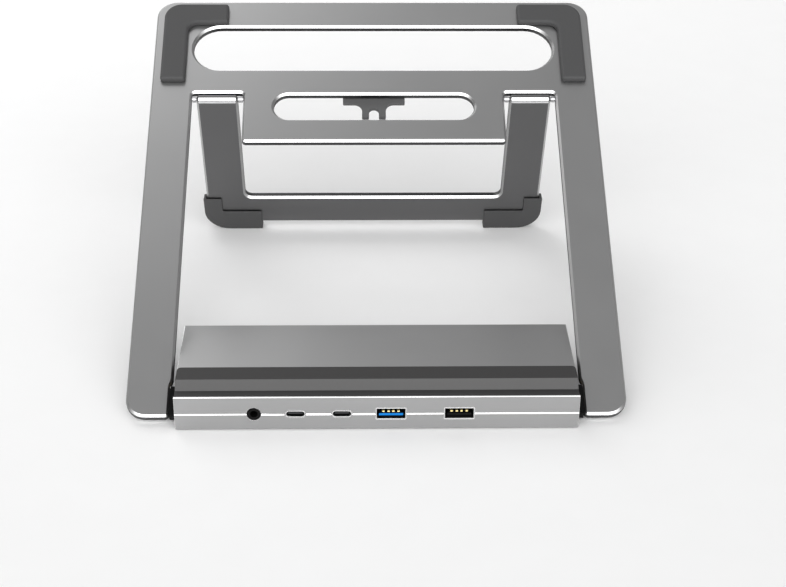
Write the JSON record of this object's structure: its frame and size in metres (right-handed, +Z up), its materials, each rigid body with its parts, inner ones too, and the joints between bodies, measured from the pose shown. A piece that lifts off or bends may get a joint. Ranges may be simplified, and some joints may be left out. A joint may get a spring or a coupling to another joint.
{
  "type": "laptop docking station",
  "caption": "Flat dock with sockets in its front and rear faces, a tilted open tray hinged to its ends, and a U-shaped rear leg that folds flush into the tray.",
  "frame": {"origin": "under the middle of the whole open object, on the surface it stands on", "axes": "+X to the right seen from the front, +Y from the dock's front face to the rear, +Z up"},
  "size_m": [0.235, 0.2308, 0.1275],
  "materials": {
    "anodised_aluminium": "satin anodised with bright cut edges",
    "grey_rubber": "matt moulded",
    "black_plastic": "matt moulded",
    "blue_plastic": "smooth moulded",
    "circuit_board": "solder mask",
    "socket_steel": "plated",
    "hinge_steel": "turned",
    "bush_brass": "turned"
  },
  "bodies": {
    "dock": {"dock_top_shell": "anodised_aluminium", "dock_bottom_shell": "anodised_aluminium", "lip_strip": "grey_rubber", "front_foot_strip": "grey_rubber", "rear_foot_strip": "grey_rubber", "left_end_cap": "black_plastic", "right_end_cap": "black_plastic", "left_hinge_bush": "bush_brass", "right_hinge_bush": "bush_brass", "left_hinge_bracket": "hinge_steel", "right_hinge_bracket": "hinge_steel", "left_spring_washer": "hinge_steel", "right_spring_washer": "hinge_steel", "left_hinge_nut": "hinge_steel", "right_hinge_nut": "hinge_steel", "audio_jack": "black_plastic", "front_usb_c_1_shell": "socket_steel", "front_usb_c_1_tongue": "black_plastic", "front_usb_c_2_shell": "socket_steel", "front_usb_c_2_tongue": "black_plastic", "fast_usb_a_shell": "socket_steel", "fast_usb_a_tongue": "blue_plastic", "plain_usb_a_shell": "socket_steel", "plain_usb_a_tongue": "black_plastic", "host_usb_c_shell": "socket_steel", "host_usb_c_tongue": "black_plastic", "power_usb_c_shell": "socket_steel", "power_usb_c_tongue": "black_plastic", "hdmi_shell": "socket_steel", "hdmi_tongue": "black_plastic", "lan_socket": "black_plastic", "main_board": "circuit_board", "hub_chip": "black_plastic", "display_chip": "black_plastic", "network_transformer": "black_plastic", "shield_can": "socket_steel", "dock_screw_1": "hinge_steel", "dock_screw_2": "hinge_steel", "dock_screw_3": "hinge_steel", "dock_screw_4": "hinge_steel"},
    "tray": {"tray_plate": "anodised_aluminium", "left_corner_pad": "grey_rubber", "right_corner_pad": "grey_rubber", "cable_clip": "grey_rubber", "clip_screw_left": "hinge_steel", "clip_screw_right": "hinge_steel", "left_hinge_pin": "hinge_steel", "right_hinge_pin": "hinge_steel", "left_hinge_spacer": "black_plastic", "right_hinge_spacer": "black_plastic", "left_leg_pin": "hinge_steel", "right_leg_pin": "hinge_steel", "left_inner_washer": "hinge_steel", "right_inner_washer": "hinge_steel", "left_outer_washer": "hinge_steel", "right_outer_washer": "hinge_steel"},
    "rear_leg": {"leg_frame": "anodised_aluminium", "left_foot_cap": "grey_rubber", "right_foot_cap": "grey_rubber"}
  },
  "joints": [
    {"name": "tray_tilt", "type": "hinge", "parent": "dock", "child": "tray", "pos_m": [0, -0.09533, 0.01055], "axis": [1, 0, 0], "range_deg": [-28.6, 0]},
    {"name": "leg_fold", "type": "hinge", "parent": "tray", "child": "rear_leg", "pos_m": [0, 0.05638, 0.09327], "axis": [1, 0, 0], "range_deg": [-82.1, 0]}
  ]
}
